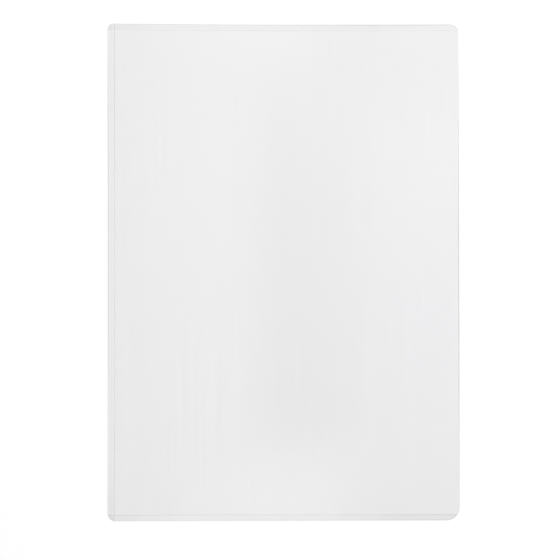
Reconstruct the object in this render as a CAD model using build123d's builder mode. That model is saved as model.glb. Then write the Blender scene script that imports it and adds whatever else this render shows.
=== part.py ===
from build123d import *
import os

# A clear sheet protector: two films of PVC welded along three sides and open along one long side.
# X runs across the sheet to the mouth, Y runs up the sheet, and Z runs up through the films.
# The origin is the middle of the back face, which lies flat on Z = 0. All sizes are millimetres.

# The A4 sheet that the pocket takes, and the room that the sheet has to slide in it
sheet_width = 210.0
sheet_height = 297.0
play_across = 3.4
play_along = 2.4

# The two films, and the air between them, which is one sheet of office paper thick
film = 0.20
air = 0.10
stack = 2 * film + air

# Width of the welded strip along the closed long side, and along the top and the bottom
side_weld_width = 4.6
end_weld_width = 4.3

# Corner radii, by side in X and in Y: no two are cut alike, and the lower one at the mouth is roundest
corner_radius = {
    (-1, 1): 3.8,
    (-1, -1): 5.3,
    (1, 1): 5.4,
    (1, -1): 8.5,
}

# The weld's pressed section: both films melt together and the electrode thins them.
# Its cut edge is the thinnest, one fine line is pressed along the land, and a crease runs along
# the inner side, from which a shoulder climbs to the front film.
cut_edge_height = 0.14
cut_bevel = 0.6
land_height = 0.32
line_centre = 2.0
line_top = 0.6
line_floor = 0.25
line_depth = 0.08
shoulder_run = 0.6
crease_wall = 0.15
crease_height = 0.20

# Sizes that follow from those
pocket_width = sheet_width + play_across
pocket_height = sheet_height + play_along
outer_width = side_weld_width + pocket_width
outer_height = pocket_height + 2 * end_weld_width
left = -outer_width / 2
right = outer_width / 2
top = outer_height / 2
bottom = -outer_height / 2
pocket_left = left + side_weld_width
pocket_middle = (pocket_left + right) / 2
front_underside = film + air


def weld_section(width):
    """Corners of a weld's section, from its cut edge inwards and from its flat back up."""
    line_floor_height = land_height - line_depth
    crease = width - shoulder_run
    return [
        (0, 0),
        (0, cut_edge_height),
        (cut_bevel, land_height),
        (line_centre - line_top / 2, land_height),
        (line_centre - line_floor / 2, line_floor_height),
        (line_centre + line_floor / 2, line_floor_height),
        (line_centre + line_top / 2, land_height),
        (crease - crease_wall, land_height),
        (crease, crease_height),
        (width, stack),
        (width, 0),
    ]


# The outline that one die cuts through both films and all three welds
with BuildSketch() as outline:
    Rectangle(outer_width, outer_height)
    for (side_x, side_y), radius in corner_radius.items():
        corner = (side_x * outer_width / 2, side_y * outer_height / 2, 0)
        fillet(outline.vertices().sort_by_distance(corner)[0], radius)

# Back film: lies flat, from the side weld to the mouth
with BuildPart() as back_film:
    with BuildSketch() as back_cut:
        with Locations((pocket_middle, 0)):
            Rectangle(pocket_width, pocket_height)
        add(outline.sketch, mode=Mode.INTERSECT)
    extrude(amount=film)

# Front film: lies over the back film, and its edge along the side weld is the line it bends about
with BuildPart() as front_film:
    with BuildSketch(Plane.XY.offset(front_underside)) as front_cut:
        with Locations((pocket_middle, 0)):
            Rectangle(pocket_width, pocket_height)
        add(outline.sketch, mode=Mode.INTERSECT)
    extrude(amount=film)

# Side weld: runs the whole height of the closed long side and takes in both of its corners
with BuildPart() as side_weld:
    with BuildSketch(Plane((left, top, 0), x_dir=(1, 0, 0), z_dir=(0, -1, 0))) as side_section:
        with BuildLine():
            Polyline(*weld_section(side_weld_width), close=True)
        make_face()
    extrude(amount=outer_height)
    extrude(outline.sketch, amount=stack, mode=Mode.INTERSECT)

# Top weld: runs from the side weld to the mouth, where the corner's radius trims its end
with BuildPart() as top_weld:
    with BuildSketch(Plane((right, top, 0), x_dir=(0, -1, 0), z_dir=(-1, 0, 0))) as top_section:
        with BuildLine():
            Polyline(*weld_section(end_weld_width), close=True)
        make_face()
    extrude(amount=pocket_width)
    extrude(outline.sketch, amount=stack, mode=Mode.INTERSECT)

# Bottom weld: the same strip along the lower edge
with BuildPart() as bottom_weld:
    with BuildSketch(Plane((pocket_left, bottom, 0), x_dir=(0, 1, 0), z_dir=(1, 0, 0))) as bottom_section:
        with BuildLine():
            Polyline(*weld_section(end_weld_width), close=True)
        make_face()
    extrude(amount=pocket_width)
    extrude(outline.sketch, amount=stack, mode=Mode.INTERSECT)

# Each piece as its own named file
pieces = {
    "back_film": back_film,
    "front_film": front_film,
    "side_weld": side_weld,
    "top_weld": top_weld,
    "bottom_weld": bottom_weld,
}
os.makedirs("parts", exist_ok=True)
for name, piece in pieces.items():
    piece.part.label = name
    export_step(piece.part, f"parts/{name}.step")
    print(f"{name}: {piece.part.volume:.1f} mm3, {piece.part.bounding_box().size}")
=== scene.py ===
import bpy
import math
import numpy as np
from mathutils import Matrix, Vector, noise


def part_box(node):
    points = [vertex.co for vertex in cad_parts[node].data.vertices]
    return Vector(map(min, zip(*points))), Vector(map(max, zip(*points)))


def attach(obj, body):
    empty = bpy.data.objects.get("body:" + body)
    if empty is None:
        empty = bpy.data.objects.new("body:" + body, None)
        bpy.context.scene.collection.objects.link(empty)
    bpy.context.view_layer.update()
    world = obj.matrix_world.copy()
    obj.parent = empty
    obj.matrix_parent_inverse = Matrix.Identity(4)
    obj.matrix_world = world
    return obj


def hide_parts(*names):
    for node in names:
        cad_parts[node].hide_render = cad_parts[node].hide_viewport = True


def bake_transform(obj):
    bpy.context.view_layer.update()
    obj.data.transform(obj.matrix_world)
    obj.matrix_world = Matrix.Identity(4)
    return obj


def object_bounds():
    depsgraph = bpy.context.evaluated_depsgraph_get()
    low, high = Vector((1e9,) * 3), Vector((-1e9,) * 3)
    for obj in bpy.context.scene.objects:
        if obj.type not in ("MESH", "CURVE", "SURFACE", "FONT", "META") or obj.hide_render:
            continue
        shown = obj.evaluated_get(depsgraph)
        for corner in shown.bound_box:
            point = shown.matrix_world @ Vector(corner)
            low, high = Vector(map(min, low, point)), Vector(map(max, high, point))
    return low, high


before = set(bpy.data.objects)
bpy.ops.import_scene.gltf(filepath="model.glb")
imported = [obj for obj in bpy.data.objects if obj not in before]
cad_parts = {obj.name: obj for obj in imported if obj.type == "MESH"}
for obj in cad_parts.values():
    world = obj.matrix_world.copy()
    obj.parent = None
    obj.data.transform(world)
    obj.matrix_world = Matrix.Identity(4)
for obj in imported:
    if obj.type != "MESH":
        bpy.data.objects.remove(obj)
cad_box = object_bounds()


# Back film: the sheet of clear PVC that the pocket lies on. It is calendered between polished rolls,
# about 0.2 mm thick, and lies flat. Its long edge at the mouth is die cut, and the other three edges
# end at the welds.
MM = 0.001
BACK_LOW, BACK_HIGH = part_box("back_film")
LEFT, BOTTOM = cad_box[0].x, cad_box[0].y
RIGHT, TOP = cad_box[1].x, cad_box[1].y
MOUTH_TOP_RADIUS = 5.4 * MM
MOUTH_BOTTOM_RADIUS = 8.5 * MM
EDGE_ROUND = 0.06 * MM
# The mesh: its gap to its neighbours, its usual step, its close steps by both ends, the angle that counts
# as sharp, and the walls where it runs on into the welds
SEAM_GAP = 0.002 * MM
GRID_STEP = 3.0 * MM
CORNER_STEPS = np.arange(0, 6, 0.4) * MM
SHARP_EDGE = math.radians(35)
FILM_FUSED = {"first_row", "last_row", "first_column"}
# The lip at the mouth: how dark its painted shade is at each distance in from its edge, in millimetres, how
# that painted shade runs up the sheet, and how far its dark line drifts inwards on its way down
LIP_SHADE = {0.65: 0.0, 0.52: 0.6, 0.4: 1.0, 0.25: 1.0, 0.12: 0.6, 0.06: 0.3}
LIP_SHADE_RUN = (0.05, 1.0, -6, 158, 145)
LIP_DRIFT = 0.12 * MM
LIP_DRIFT_START = 60 * MM
LIP_DRIFT_RUN = 150 * MM
# Painted darkness is uneven: the length of its patches in millimetres, how strong they are, and their slice
# of the noise
DARKNESS_PATCH = 14
DARKNESS_UNEVEN = 0.2
DARKNESS_SLICE = 5.0
# The film's waves: how high, how long each way, and their slice of the noise
BACK_WAVE = 0.03 * MM
BACK_WAVE_ACROSS = 60 * MM
BACK_WAVE_UP = 150 * MM
BACK_WAVE_SLICE = 3.0
# How far the cooling welds draw each edge in, where on the side that is most, and how far in it reaches
SIDE_DRAW = 0.32 * MM
SIDE_DRAW_MIDDLE = -25 * MM
TOP_DRAW = 0.50 * MM
FOOT_DRAW = 0.30 * MM
MOUTH_DRAW = 0.20 * MM
DRAW_REACH = 60 * MM


def smooth(t):
    """From 0 to 1 with level ends."""
    t = min(max(t, 0.0), 1.0)
    return t * t * (3 - 2 * t)


def drawn_in(x, y, z):
    """Where a point of the flat cut lies once the cooling welds have drawn the edges in."""
    by_side = smooth(1 - (x - LEFT) / DRAW_REACH)
    by_mouth = smooth(1 - (RIGHT - x) / DRAW_REACH)
    by_top = smooth(1 - (TOP - y) / DRAW_REACH)
    by_foot = smooth(1 - (y - BOTTOM) / DRAW_REACH)
    bow = max(1 - ((y - SIDE_DRAW_MIDDLE) / TOP) ** 2, 0)
    inward = SIDE_DRAW * bow * by_side - MOUTH_DRAW * by_mouth * by_top
    up = FOOT_DRAW * by_foot * (RIGHT - x) / (RIGHT - LEFT) - TOP_DRAW * (1 - (x / RIGHT) ** 2) * by_top
    return x + inward, y + up, z


def corner_setback(distance, radius):
    """How far a rounded corner pulls an edge back, at a distance in from the edge across it."""
    if distance >= radius:
        return 0.0
    return radius - math.sqrt(radius ** 2 - (radius - distance) ** 2)


def mouth_edge(y):
    """Where the outline's edge at the mouth is, at a height on the sheet."""
    return RIGHT - max(
        corner_setback(TOP - y, MOUTH_TOP_RADIUS),
        corner_setback(y - BOTTOM, MOUTH_BOTTOM_RADIUS),
    )


def closed_grid(name, upper, lower, shade_and_grey, fused):
    """A closed mesh between two grids of places, with a third that says how far darker grey is painted on,
    as shade or greyer land, where 1 is fully, and fused names the walls where it runs on into the next piece
    as one plastic."""
    upper, lower = np.array(upper), np.array(lower)
    rows, columns = upper.shape[:2]
    count = rows * columns
    index = np.arange(count).reshape(rows, columns)
    faces = []
    for r in range(rows - 1):
        for c in range(columns - 1):
            a, b, d, e = index[r, c], index[r, c + 1], index[r + 1, c + 1], index[r + 1, c]
            faces.append((a, b, d, e))
            faces.append((a + count, e + count, d + count, b + count))
    walls = {
        "first_row": index[0],
        "last_column": index[:, -1],
        "last_row": index[-1, ::-1],
        "first_column": index[::-1, 0],
    }
    seams = [False] * len(faces)
    for wall, line in walls.items():
        for a, b in zip(line[:-1], line[1:]):
            faces.append((b, a, a + count, b + count))
            seams.append(wall in fused)
    if np.cross(upper[0, 1] - upper[0, 0], upper[1, 0] - upper[0, 0])[2] < 0:
        # The faces are turned round, so that every one looks outwards.
        faces = [face[::-1] for face in faces]
    places = [drawn_in(*p) for p in np.concatenate([upper.reshape(-1, 3), lower.reshape(-1, 3)])]
    mesh = bpy.data.meshes.new(name)
    mesh.from_pydata(places, [], [tuple(int(i) for i in f) for f in faces])
    mesh.update()
    shading = mesh.attributes.new("shade_and_grey", "FLOAT", "POINT")
    shading.data.foreach_set("value", np.tile(np.ravel(shade_and_grey), 2).astype(np.float32))
    joined = mesh.attributes.new("fused", "FLOAT", "FACE")
    joined.data.foreach_set("value", np.array(seams, dtype=np.float32))
    for polygon in mesh.polygons:
        polygon.use_smooth = True
    mesh.set_sharp_from_angle(angle=SHARP_EDGE)
    piece = bpy.data.objects.new(name, mesh)
    bpy.context.scene.collection.objects.link(piece)
    return piece


def darkness_along(s, beyond, within, centre, reach, fade):
    """How strongly darker grey is painted on a cut or pressed line, as shade or greyer land, at a place
    along its run, within reach of its centre and beyond it. Below 0 it takes painted darkness off. Its
    centre, reach and fade are in millimetres."""
    s = s / MM
    uneven = noise.noise(Vector((s / DARKNESS_PATCH, centre / DARKNESS_PATCH, DARKNESS_SLICE)))
    even = beyond + (within - beyond) * smooth((reach - abs(s - centre)) / fade)
    return even * (1 + DARKNESS_UNEVEN * uneven)


def run_stations(start, end, near, steps):
    """Places along a run: near gives those by each end, and steps how many there are between."""
    middle = np.linspace(start + near[-1], end - near[-1], steps + 1)
    return np.concatenate([start + near[:-1], middle, end - near[-2::-1]])


def film_sheet(name, low, high, lift):
    """A film with rows up the sheet and columns from the weld to the mouth, where its lip is die cut."""
    steps = round((high.y - low.y) / GRID_STEP)
    rows = run_stations(low.y + SEAM_GAP, high.y - SEAM_GAP, CORNER_STEPS, steps)
    body = np.linspace(0, 1, round((high.x - low.x) / GRID_STEP) + 1)[:-1]
    start = low.x + SEAM_GAP
    upper, lower, shade_and_grey = [], [], []
    for y in rows:
        edge = mouth_edge(y)
        drift = LIP_DRIFT * smooth((LIP_DRIFT_START - y) / LIP_DRIFT_RUN)
        lip = [edge - drift - d * MM for d in LIP_SHADE]
        columns = [start + (lip[0] - start) * t for t in body] + lip + [edge]
        upper.append([(x, y, high.z + lift(x, y) - (EDGE_ROUND if x == edge else 0)) for x in columns])
        lower.append([(x, y, low.z + lift(x, y)) for x in columns])
        # The lip's dark line is painted shade along the cut edge; this is how strong it is at this height.
        shaded_grey = darkness_along(y, *LIP_SHADE_RUN)
        shade_and_grey.append([0.0] * len(body) + [mark * shaded_grey for mark in LIP_SHADE.values()] + [0.0])
    return closed_grid(name, upper, lower, shade_and_grey, FILM_FUSED)


def back_lift(x, y):
    """The back film's slight waves off the table."""
    wave = noise.noise(Vector((x / BACK_WAVE_ACROSS, y / BACK_WAVE_UP, BACK_WAVE_SLICE)))
    return BACK_WAVE * (1 + wave) / 2


back = film_sheet("back_film_sheet", BACK_LOW, BACK_HIGH, back_lift)


def linear(code):
    """An sRGB hex colour as the linear colour that a shader takes."""
    parts = [int(code[i:i + 2], 16) / 255 for i in (1, 3, 5)]
    return [p / 12.92 if p <= 0.04045 else ((p + 0.055) / 1.055) ** 2.4 for p in parts] + [1.0]


def add_node(tree, kind, inputs=None, **settings):
    """Adds a node with its settings, and sets or links each input that is named or numbered."""
    node = tree.nodes.new(kind)
    for key, value in settings.items():
        setattr(node, key, value)
    for key, value in (inputs or {}).items():
        if isinstance(value, bpy.types.NodeSocket):
            tree.links.new(value, node.inputs[key])
        else:
            node.inputs[key].default_value = value
    return node


# Clear calendered PVC: smooth and glossy, with faint lines along the way that it was drawn out. Darker grey
# is painted on its cut edges and the welds' lines and creases as shade, and on parts of the welds' land.
# Real lines are too fine to show in the render, so these are drawn as coarse as they need to be.
WHITE = linear("#FFFFFF")
PVC_IOR = 1.54
DRAWN_LINE_WIDTH = 2.5 * MM
DRAWN_LINE_LENGTH = 140 * MM
DRAWN_LINE_DEPTH = 0.006 * MM
DRAWN_LINE_DETAIL = 3.0
DRAWN_LINE_NOISE = (0.3, 0.7)
DRAWN_LINE_TONE = (0.9885, 0.9965)


def clear_pvc(name, tint, shaded_grey, shade, rough):
    """A clear PVC of that tint, through which the table is lit in its own faint shade."""
    material = bpy.data.materials.new(name)
    material.use_nodes = True
    tree = material.node_tree
    tree.nodes.clear()
    place = add_node(tree, "ShaderNodeTexCoord").outputs["Object"]
    drawn = add_node(tree, "ShaderNodeMapping", {
        "Vector": place, "Scale": (1 / DRAWN_LINE_WIDTH, 1 / DRAWN_LINE_LENGTH, 1)})
    lines = add_node(tree, "ShaderNodeTexNoise", {
        "Vector": drawn.outputs[0], "Scale": 1.0, "Detail": DRAWN_LINE_DETAIL})
    bump = add_node(tree, "ShaderNodeBump", {
        "Height": lines.outputs["Fac"], "Distance": DRAWN_LINE_DEPTH, "Strength": 1.0})
    streak = add_node(tree, "ShaderNodeMapRange", {
        "Value": lines.outputs["Fac"],
        "From Min": DRAWN_LINE_NOISE[0], "From Max": DRAWN_LINE_NOISE[1],
        "To Min": DRAWN_LINE_TONE[0], "To Max": DRAWN_LINE_TONE[1]})
    # This attribute mixes in darker grey: painted shade in creases, grooves and along cut edges, and greyer
    # weld land.
    shade_and_grey = add_node(tree, "ShaderNodeAttribute", attribute_name="shade_and_grey")
    tone = add_node(tree, "ShaderNodeMix", {
        "Factor": shade_and_grey.outputs["Fac"], "A": linear(tint), "B": linear(shaded_grey)}, data_type="RGBA")
    streaked = add_node(tree, "ShaderNodeVectorMath", {
        0: tone.outputs["Result"], 3: streak.outputs[0]}, operation="SCALE")
    plastic = add_node(tree, "ShaderNodeBsdfPrincipled", {
        "Base Color": streaked.outputs[0], "Roughness": rough, "IOR": PVC_IOR, "Transmission Weight": 1.0,
        "Normal": bump.outputs[0]})
    clear = add_node(tree, "ShaderNodeBsdfTransparent", {"Color": linear(shade)})
    path = add_node(tree, "ShaderNodeLightPath")
    surface = plastic
    for ray in ("Is Shadow Ray", "Is Diffuse Ray"):
        surface = add_node(tree, "ShaderNodeMixShader", {
            0: path.outputs[ray], 1: surface.outputs[0], 2: clear.outputs[0]})
    # Pieces that are melted into one have no surface between them.
    fused = add_node(tree, "ShaderNodeAttribute", attribute_name="fused")
    through = add_node(tree, "ShaderNodeBsdfTransparent", {"Color": WHITE})
    surface = add_node(tree, "ShaderNodeMixShader", {
        0: fused.outputs["Fac"], 1: surface.outputs[0], 2: through.outputs[0]})
    add_node(tree, "ShaderNodeOutputMaterial", {"Surface": surface.outputs[0]})
    return material


film_pvc = clear_pvc("clear_calendered_pvc", tint="#FEFEFE", shaded_grey="#EBEBEB", shade="#FAFAFA", rough=0.04)
back.data.materials.append(film_pvc)
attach(back, "pocket")
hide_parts("back_film")


# Front film: the same calendered PVC, lying over the back film. Welds hold three of its edges, and it swells
# a little off the back film between them.
FRONT_LOW, FRONT_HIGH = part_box("front_film")
# Its waves, as the back film's, how far they dip, and how far in the welds hold them down
FRONT_WAVE = 0.26 * MM
FRONT_WAVE_ACROSS = 45 * MM
FRONT_WAVE_UP = 170 * MM
FRONT_WAVE_SLICE = 7.0
FRONT_DIP = 0.05 * MM
WELD_HOLD = 18 * MM


def front_lift(x, y):
    """The front film's long waves up the sheet, which the welds hold down."""
    wave = noise.noise(Vector((x / FRONT_WAVE_ACROSS, y / FRONT_WAVE_UP, FRONT_WAVE_SLICE)))
    held = smooth((x - FRONT_LOW.x) / WELD_HOLD) * smooth((TOP - abs(y)) / WELD_HOLD)
    return held * (FRONT_WAVE * (1 + wave) / 2 - FRONT_DIP)


front = film_sheet("front_film_sheet", FRONT_LOW, FRONT_HIGH, front_lift)
front.data.materials.append(film_pvc)
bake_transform(front)
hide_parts("front_film")


# Side weld: the strip along the closed long side, where heat and pressure melt both films into one.
# The electrode thins it and presses a fine line and a crease into it, and the die cuts its edge. The
# presses of both end welds cross it and flatten it there.
SIDE_LOW, SIDE_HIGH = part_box("side_weld")
SIDE_WIDTH = SIDE_HIGH.x - SIDE_LOW.x
END_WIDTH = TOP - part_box("top_weld")[0].y
STACK = SIDE_HIGH.z
SIDE_TOP_RADIUS = 3.8 * MM
SIDE_BOTTOM_RADIUS = 5.3 * MM
# The pressed section, from its cut edge inwards
CUT_EDGE = 0.14 * MM
BEVEL = 0.6 * MM
LAND = 0.32 * MM
LINE_CENTRE = 2.0 * MM
LINE_HALF = 0.3 * MM
LINE_DEPTH = 0.08 * MM
CREASE_WALL = 0.15 * MM
SIDE_CREASE = 0.24 * MM
TOP_CREASE = 0.30 * MM
BOTTOM_CREASE = 0.26 * MM
SHOULDER = 0.6 * MM
# The mesh: how many stations each bend of the section has, where the level land has some, the digits of a
# metre to which two are told apart, and close steps along a strip past the end welds
BEVEL_COUNT = 6
LINE_COUNT = 7
WALL_COUNT = 4
SHOULDER_COUNT = 8
LAND_STATIONS = np.array([0.85, 1.15, 2.8]) * MM
STATION_DIGITS = 9
PAST_END_WELD = np.arange(4.6, 9.1, 0.3) * MM
# How far in the cut rim's painted dark line lies, and how softly a band of painted shade starts and ends
RIM_LINE = 0.45 * MM
MARK_EDGE = 0.45 * MM
# Painted shade in lines and creases, and greyer land: where each starts and ends across its strip, in
# millimetres, and how its strength runs along it. Those of the end presses run on across the side strip.
SIDE_SHADING = [
    (1.2, 3.6, 0.10, 0.06, 50, 150, 100),  # the land
    (1.7, 2.3, 0.0, 0.10, 130, 80, 60),  # the fine line, near the top
    (4.0, 4.65, 1.0, 0.62, -15, 120, 50),  # the crease, strongest by both ends
    (0.4, 4.2, 0.0, 0.13, -150, 40, 36),  # the land by the lower corner
    (4.0, 4.65, -0.45, 0.0, 0, 150.5, 2),  # what the end presses wipe off the crease
]
TOP_SHADING = [
    (0.9, 4.3, 0.0, 0.04, 45, 50, 50),  # the land, right of the middle
    (0.5, 4.3, 0.0, 0.14, -104, 30, 30),  # the land by the side weld
    (1.7, 2.3, 0.05, 0.25, 48, 50, 40),  # the fine line
    (3.6, 4.3, 0.12, 0.15, 40, 60, 60),  # the crease
]
BOTTOM_SHADING = [
    (0.2, 4.3, 0.22, 0.0, -20, 100, 65),  # the land, by both ends
    (1.7, 2.3, 0.03, 0.03, 0, 110, 110),  # the fine line
    (3.3, 4.3, 0.15, 0.32, 90, 75, 75),  # the crease
    (3.6, 4.3, 0.0, 0.22, -80, 90, 60),  # the crease's sharper left half
]
# How the painted shade of the cut rim runs along it, and a darker painted spot at its lower end
SIDE_RIM_SHADE = [(0.08, 0.57, 30, 130, 75), (0.0, 0.7, -154, 1.5, 1.2)]
# The wall where it runs on into the films
SIDE_FUSED = {"last_row"}


def inset(x, y):
    """Distance in from the die-cut outline, with its four corner radii."""
    radius = {
        (True, True): MOUTH_TOP_RADIUS,
        (True, False): MOUTH_BOTTOM_RADIUS,
        (False, True): SIDE_TOP_RADIUS,
        (False, False): SIDE_BOTTOM_RADIUS,
    }[(x > 0, y > 0)]
    beside, beyond = RIGHT - abs(x), TOP - abs(y)
    if beside < radius and beyond < radius:
        return radius - math.hypot(radius - beside, radius - beyond)
    return min(beside, beyond)


def ridge(distance, half):
    """1 on a line, falling to 0 at its half width."""
    return math.cos(min(abs(distance) / half, 1) * math.pi / 2) ** 2


def weld_height(u, width, low):
    """Height of the weld's upper face, at a distance in from its straight cut edge. low is its crease's."""
    crease = width - SHOULDER
    height = LAND - LINE_DEPTH * ridge(u - LINE_CENTRE, LINE_HALF)
    height -= (LAND - low) * smooth((u - crease + CREASE_WALL) / CREASE_WALL)
    return height + (STACK - low) * smooth((u - crease) / SHOULDER)


def weld_stations(width):
    """Distances in from the cut edge at which the section is drawn, close together where it bends."""
    bevel = np.linspace(0, BEVEL, BEVEL_COUNT)
    line = np.linspace(LINE_CENTRE - LINE_HALF, LINE_CENTRE + LINE_HALF, LINE_COUNT)
    crease = width - SHOULDER
    wall = np.linspace(crease - CREASE_WALL, crease, WALL_COUNT)
    shoulder = np.linspace(crease, width, SHOULDER_COUNT)
    stations = np.concatenate([bevel, LAND_STATIONS, line, wall, shoulder])
    return np.unique(np.round(stations, STATION_DIGITS))


def painted_darkness(shading, u, s):
    """How much darker grey a strip is painted, as shade or greyer land, at a distance in from its straight
    edge and a place along it.
    """
    total = 0.0
    for start, end, *run in shading:
        soft = min(MARK_EDGE, (end - start) * MM / 2)
        total += darkness_along(s, *run) * smooth((u - start * MM) / soft) * smooth((end * MM - u) / soft)
    return total


def pressed_strip(name, width, ends, place, height, rim_shades, shading, fused):
    """A weld strip: rows at steady distances u from its cut edge, each between its two ends. height(u, s) is
    that of its upper face; the rim runs paint shade along its cut rim, and the function of (u, s) after them
    paints the rest of its shade and greyer land."""
    near = np.concatenate([weld_stations(END_WIDTH), PAST_END_WELD])
    start, end = ends(width)
    steps = round((end - start) / GRID_STEP)
    upper, lower, shade_and_grey = [], [], []
    for u in weld_stations(width):
        run = run_stations(*ends(u), near, steps)
        row = [place(u, s) for s in run]
        depth = [inset(x, y) for x, y in row]
        heights = [CUT_EDGE + (height(u, s) - CUT_EDGE) * smooth(d / BEVEL) for s, d in zip(run, depth)]
        upper.append([(x, y, z) for (x, y), z in zip(row, heights)])
        lower.append([(x, y, 0) for x, y in row])
        rim = [sum(darkness_along(s, *r) for r in rim_shades) * ridge(d - RIM_LINE, RIM_LINE) for s, d in zip(run, depth)]
        shade_and_grey.append([rim_dark + shading(u, s) for rim_dark, s in zip(rim, run)])
    return closed_grid(name, upper, lower, shade_and_grey, fused)


def side_ends(u):
    """Lower and upper end of the side weld, at a distance in from the cut edge."""
    return BOTTOM + corner_setback(u, SIDE_BOTTOM_RADIUS), TOP - corner_setback(u, SIDE_TOP_RADIUS)


def side_place(u, s):
    """The side weld's rows run up the sheet."""
    return LEFT + u, s


def side_height(u, s):
    """The side press's section, flattened where the end presses cross it."""
    by_top = weld_height(TOP - s, END_WIDTH, TOP_CREASE)
    by_foot = weld_height(s - BOTTOM, END_WIDTH, BOTTOM_CREASE)
    return min(weld_height(u, SIDE_WIDTH, SIDE_CREASE), by_top, by_foot)


def side_shading(u, s):
    """The side strip's own painted shade and greyer land, and those of both end presses, which run on across
    its strip.
    """
    x = LEFT + u
    by_top = painted_darkness(TOP_SHADING, TOP - s, x)
    by_foot = painted_darkness(BOTTOM_SHADING, s - BOTTOM, x)
    return painted_darkness(SIDE_SHADING, u, s) + by_top + by_foot


side = pressed_strip(
    "side_weld_strip", SIDE_WIDTH, side_ends, side_place, side_height, SIDE_RIM_SHADE, side_shading, SIDE_FUSED)
# Pressed PVC: the same clear plastic, less glossy and a little greyer where the electrode has melted it.
# Its fine line, crease and cut rim get darker grey painted on as shade.
weld_pvc = clear_pvc("pressed_pvc_weld", tint="#F9F9F9", shaded_grey="#D0D0D1", shade="#F4F4F4", rough=0.12)
side.data.materials.append(weld_pvc)
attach(side, "pocket")
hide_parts("side_weld")


# Top weld: the same strip of melted PVC along the upper edge, pressed in one stroke from the side weld to
# the mouth, where the die rounds its end.
STRIP_START = SIDE_HIGH.x + SEAM_GAP
# How the painted shade of its cut rim runs along it
TOP_RIM_SHADE = [(0.24, 0.78, 60, 65, 65)]
# The walls where an end weld runs on into the films and into the side weld
END_FUSED = {"last_row", "first_column"}


def top_ends(v):
    """Both ends of the top weld, at a distance in from the cut edge. A corner trims the one at the mouth."""
    return STRIP_START, RIGHT - corner_setback(v, MOUTH_TOP_RADIUS)


def top_place(v, s):
    """The top weld's rows run across the sheet."""
    return s, TOP - v


def top_height(v, s):
    """The top press's section, which is the same all along."""
    return weld_height(v, END_WIDTH, TOP_CREASE)


def top_shading(v, s):
    """The top strip's painted shade and greyer land."""
    return painted_darkness(TOP_SHADING, v, s)


top = pressed_strip(
    "top_weld_strip", END_WIDTH, top_ends, top_place, top_height, TOP_RIM_SHADE, top_shading, END_FUSED)
top.data.materials.append(weld_pvc)
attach(top, "pocket")
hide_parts("top_weld")


# Bottom weld: the same strip of melted PVC along the lower edge, pressed like the top one. The die rounds
# its end at the mouth most of all four corners.
# How the painted shade of its cut rim runs along it
BOTTOM_RIM_SHADE = [(0.15, 0.45, 90, 75, 75)]


def bottom_ends(v):
    """Both ends of the bottom weld, at a distance in from the cut edge."""
    return STRIP_START, RIGHT - corner_setback(v, MOUTH_BOTTOM_RADIUS)


def bottom_place(v, s):
    """The bottom weld's rows run across the sheet."""
    return s, BOTTOM + v


def bottom_height(v, s):
    """The bottom press's section, which is the same all along."""
    return weld_height(v, END_WIDTH, BOTTOM_CREASE)


def bottom_shading(v, s):
    """The bottom strip's painted shade and greyer land."""
    return painted_darkness(BOTTOM_SHADING, v, s)


bottom = pressed_strip(
    "bottom_weld_strip", END_WIDTH, bottom_ends, bottom_place, bottom_height, BOTTOM_RIM_SHADE, bottom_shading,
    END_FUSED)
bottom.data.materials.append(weld_pvc)
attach(bottom, "pocket")
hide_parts("bottom_weld")


# Table: a plain white card that the pocket lies on. It shows white to the eye, in gloss and through
# clear plastic, and part of it is lit by the lamp and the room, so that it takes the pocket's shadow.
# Far from the pocket it only glows, so that no horizon shows.
TABLE_HALF = 3.0
TABLE_DROP = 0.1 * MM
# The share of it that glows, and how far out that share starts to rise and is all of it
TABLE_GLOW = 0.6
TABLE_FAR = (0.35, 0.9)

table_mesh = bpy.data.meshes.new("table")
table_mesh.from_pydata(
    [(sx * TABLE_HALF, sy * TABLE_HALF, -TABLE_DROP) for sx, sy in ((-1, -1), (1, -1), (1, 1), (-1, 1))],
    [], [(0, 1, 2, 3)])
table = bpy.data.objects.new("table", table_mesh)
bpy.context.scene.collection.objects.link(table)
table_white = bpy.data.materials.new("white_card")
table_white.use_nodes = True
tree = table_white.node_tree
tree.nodes.clear()
path = add_node(tree, "ShaderNodeLightPath")
seen = add_node(tree, "ShaderNodeMath", {
    0: path.outputs["Is Camera Ray"], 1: path.outputs["Is Glossy Ray"]}, operation="MAXIMUM")
seen = add_node(tree, "ShaderNodeMath", {
    0: seen.outputs[0], 1: path.outputs["Is Transmission Ray"]}, operation="MAXIMUM")
place = add_node(tree, "ShaderNodeTexCoord").outputs["Object"]
distance = add_node(tree, "ShaderNodeVectorMath", {0: place}, operation="LENGTH").outputs["Value"]
glowing = add_node(tree, "ShaderNodeMapRange", {
    "Value": distance, "From Min": TABLE_FAR[0], "From Max": TABLE_FAR[1],
    "To Min": TABLE_GLOW, "To Max": 1.0})
share = add_node(tree, "ShaderNodeMath", {0: seen.outputs[0], 1: glowing.outputs[0]}, operation="MULTIPLY")
card = add_node(tree, "ShaderNodeBsdfDiffuse", {"Color": WHITE})
glow = add_node(tree, "ShaderNodeEmission", {"Color": WHITE, "Strength": 1.0})
mixed = add_node(tree, "ShaderNodeMixShader", {0: share.outputs[0], 1: card.outputs[0], 2: glow.outputs[0]})
add_node(tree, "ShaderNodeOutputMaterial", {"Surface": mixed.outputs[0]})
table.data.materials.append(table_white)


# Light: a white room round the table, with two rows of soft light panels on each wall. Seen from above, the
# gloss shows its ceiling, which brightens to the upper right and has soft lighter and darker patches, and a
# cool one on the right.
WALLS = 0.31
PANEL = 0.40
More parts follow.
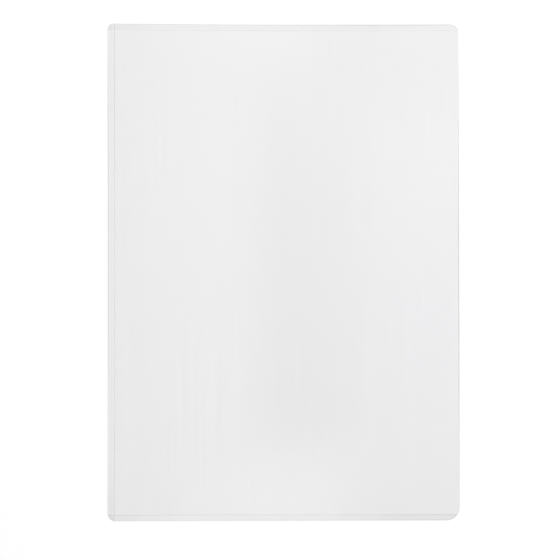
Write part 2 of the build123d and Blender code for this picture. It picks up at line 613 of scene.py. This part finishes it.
# Where a panel's inner and outer edges start and are full, as slopes aside over the distance to the wall,
# and the same for the foot and head of each row, as slopes up
PANEL_INNER = (0.06, 0.14)
PANEL_OUTER = (0.88, 0.78)
PANEL_ROWS = [((0.05, 0.10), (0.54, 0.46)), ((0.66, 0.74), (1.40, 1.20))]
# Places on the ceiling are slopes from straight up, across and along over height, which stop at its edge.
# Its level rises with each slope and with both together, and it gives way to the walls as a ray sinks.
CEILING = 0.44
CEILING_ACROSS = 0.50
CEILING_ALONG = 0.86
CEILING_BOTH = 3.0
CEILING_EDGE = 0.25
CEILING_SIGHT = (0.75, 0.95)
# The least height that a slope is taken over
LEAST_RISE = 0.05
# Each soft patch: how bright, and where it starts and is full on the left, right, foot and head
PATCHES = [
    (-0.18, (-0.025, 0.022), (0.12, 0.02), (-0.12, -0.085), (0.21, 0.08)),
    (0.10, (-0.115, -0.035), (0.045, -0.035), (-0.5, -0.3), (0.5, 0.3)),
    (-0.14, (0.02, 0.08), (0.35, 0.30), (0.11, 0.20), (0.35, 0.30)),
    (0.07, (-0.06, 0.02), (0.06, 0.02), (0.15, 0.20), (0.30, 0.21)),
    (0.25, (-0.08, 0.02), (0.10, 0.03), (-0.26, -0.17), (-0.10, -0.155)),
    (-0.03, (-0.5, -0.3), (0.5, 0.3), (-0.6, -0.5), (-0.11, -0.165)),
    (-0.05, (-0.5, -0.3), (0.5, 0.3), (0.10, 0.17), (0.6, 0.5)),
]
COOL_PATCH = ((0.02, 0.08), (0.30, 0.15), (-0.16, -0.10), (0.05, -0.01))
COOL = (0.97, 0.97, 1.12, 1.0)
# A ray with fewer glossy bounces than this has had none
NO_BOUNCE = 0.5

world = bpy.data.worlds.new("studio")
bpy.context.scene.world = world
world.use_nodes = True
tree = world.node_tree
tree.nodes.clear()
way = add_node(tree, "ShaderNodeSeparateXYZ", {0: add_node(tree, "ShaderNodeTexCoord").outputs["Generated"]})
rise = add_node(tree, "ShaderNodeMath", {0: way.outputs["Z"], 1: LEAST_RISE}, operation="MAXIMUM")
slopes = []
for axis in ("X", "Y"):
    slope = add_node(tree, "ShaderNodeMath", {0: way.outputs[axis], 1: rise.outputs[0]}, operation="DIVIDE")
    held = add_node(tree, "ShaderNodeMapRange", {
        "Value": slope.outputs[0], "From Min": -CEILING_EDGE, "From Max": CEILING_EDGE,
        "To Min": -CEILING_EDGE, "To Max": CEILING_EDGE})
    slopes.append(held.outputs[0])
across, along = slopes


def soft_patch(*edges):
    """1 inside a patch of the room. Each soft edge has a slope, where it starts and where it is full."""
    inside = 1.0
    for slope, (start, full) in edges:
        edge = add_node(tree, "ShaderNodeMapRange", {
            "Value": slope, "From Min": start, "From Max": full}, interpolation_type="SMOOTHSTEP")
        inside = add_node(tree, "ShaderNodeMath", {0: edge.outputs[0], 1: inside}, operation="MULTIPLY")
        inside = inside.outputs[0]
    return inside


def ceiling_patch(left, right, foot, head):
    """A soft patch of the ceiling."""
    return soft_patch((across, left), (across, right), (along, foot), (along, head))


both = add_node(tree, "ShaderNodeMath", {0: across, 1: along}, operation="MULTIPLY").outputs[0]
level = CEILING
terms = [(across, CEILING_ACROSS), (along, CEILING_ALONG), (both, CEILING_BOTH)]
terms += [(ceiling_patch(*sides), strength) for strength, *sides in PATCHES]
for term, strength in terms:
    level = add_node(tree, "ShaderNodeMath", {0: term, 1: strength, 2: level}, operation="MULTIPLY_ADD")
    level = level.outputs[0]
overhead = add_node(tree, "ShaderNodeMapRange", {
    "Value": way.outputs["Z"], "From Min": CEILING_SIGHT[0], "From Max": CEILING_SIGHT[1]},
    interpolation_type="SMOOTHSTEP")
reach = []
for axis in ("X", "Y"):
    length = add_node(tree, "ShaderNodeMath", {0: way.outputs[axis]}, operation="ABSOLUTE")
    reach.append(length.outputs[0])
to_wall = add_node(tree, "ShaderNodeMath", {0: reach[0], 1: reach[1]}, operation="MAXIMUM").outputs[0]
aside = add_node(tree, "ShaderNodeMath", {0: reach[0], 1: reach[1]}, operation="MINIMUM").outputs[0]
aside = add_node(tree, "ShaderNodeMath", {0: aside, 1: to_wall}, operation="DIVIDE").outputs[0]
raised = add_node(tree, "ShaderNodeMath", {0: way.outputs["Z"], 1: to_wall}, operation="DIVIDE").outputs[0]
walls = WALLS
for foot, head in PANEL_ROWS:
    panel = soft_patch((aside, PANEL_INNER), (aside, PANEL_OUTER), (raised, foot), (raised, head))
    walls = add_node(tree, "ShaderNodeMath", {0: panel, 1: PANEL, 2: walls}, operation="MULTIPLY_ADD")
    walls = walls.outputs[0]
room_level = add_node(tree, "ShaderNodeMix", {"Factor": overhead.outputs[0], "A": walls, "B": level})
cool = add_node(tree, "ShaderNodeMix", {
    "Factor": ceiling_patch(*COOL_PATCH), "A": WHITE, "B": COOL}, data_type="RGBA")
room = add_node(tree, "ShaderNodeBackground", {
    "Color": cool.outputs["Result"], "Strength": room_level.outputs["Result"]})
# The eye sees a plain white backdrop instead, directly and through clear plastic.
backdrop = add_node(tree, "ShaderNodeBackground", {"Color": WHITE, "Strength": 1.0})
path = add_node(tree, "ShaderNodeLightPath")
seen = add_node(tree, "ShaderNodeMath", {
    0: path.outputs["Is Camera Ray"], 1: path.outputs["Is Transmission Ray"]}, operation="MAXIMUM")
straight = add_node(tree, "ShaderNodeMath", {
    0: path.outputs["Glossy Depth"], 1: NO_BOUNCE}, operation="LESS_THAN")
seen = add_node(tree, "ShaderNodeMath", {0: seen.outputs[0], 1: straight.outputs[0]}, operation="MULTIPLY")
mixed = add_node(tree, "ShaderNodeMixShader", {
    0: seen.outputs[0], 1: room.outputs[0], 2: backdrop.outputs[0]})
add_node(tree, "ShaderNodeOutputWorld", {"Surface": mixed.outputs[0]})


# Lamp: one large soft box, high on the upper right. It is kept out of the gloss, as by a polarising filter,
# and out of what shows through the plastic, because its glare would hide the open film.
LAMP_PLACE = Vector((1.9, 1.9, 2.6))
LAMP_SIZE = 1.6
LAMP_WATTS = 123.5
lamp = bpy.data.objects.new("soft_box", bpy.data.lights.new("soft_box", "AREA"))
bpy.context.scene.collection.objects.link(lamp)
lamp.data.size = LAMP_SIZE
lamp.data.energy = LAMP_WATTS
lamp.location = LAMP_PLACE
lamp.rotation_euler = (-LAMP_PLACE).to_track_quat("-Z", "Y").to_euler()
lamp.visible_glossy = False
lamp.visible_transmission = False


# Camera: straight above the pocket, within a degree, as the photograph was taken. Lens and sensor are in
# millimetres.
CAMERA_PLACE = Vector((-16.05, -15.26, 818.5)) * MM
CAMERA_TURN = [math.radians(a) for a in (0.718, -0.966, -0.059)]
LENS = 85
SENSOR = 36
NEAREST = 10 * MM
camera = bpy.data.objects.new("camera", bpy.data.cameras.new("camera"))
bpy.context.scene.collection.objects.link(camera)
camera.location = CAMERA_PLACE
camera.rotation_euler = CAMERA_TURN
camera.data.lens = LENS
camera.data.sensor_width = SENSOR
camera.data.clip_start = NEAREST
bpy.context.scene.camera = camera
bpy.context.scene.view_settings.view_transform = "Standard"
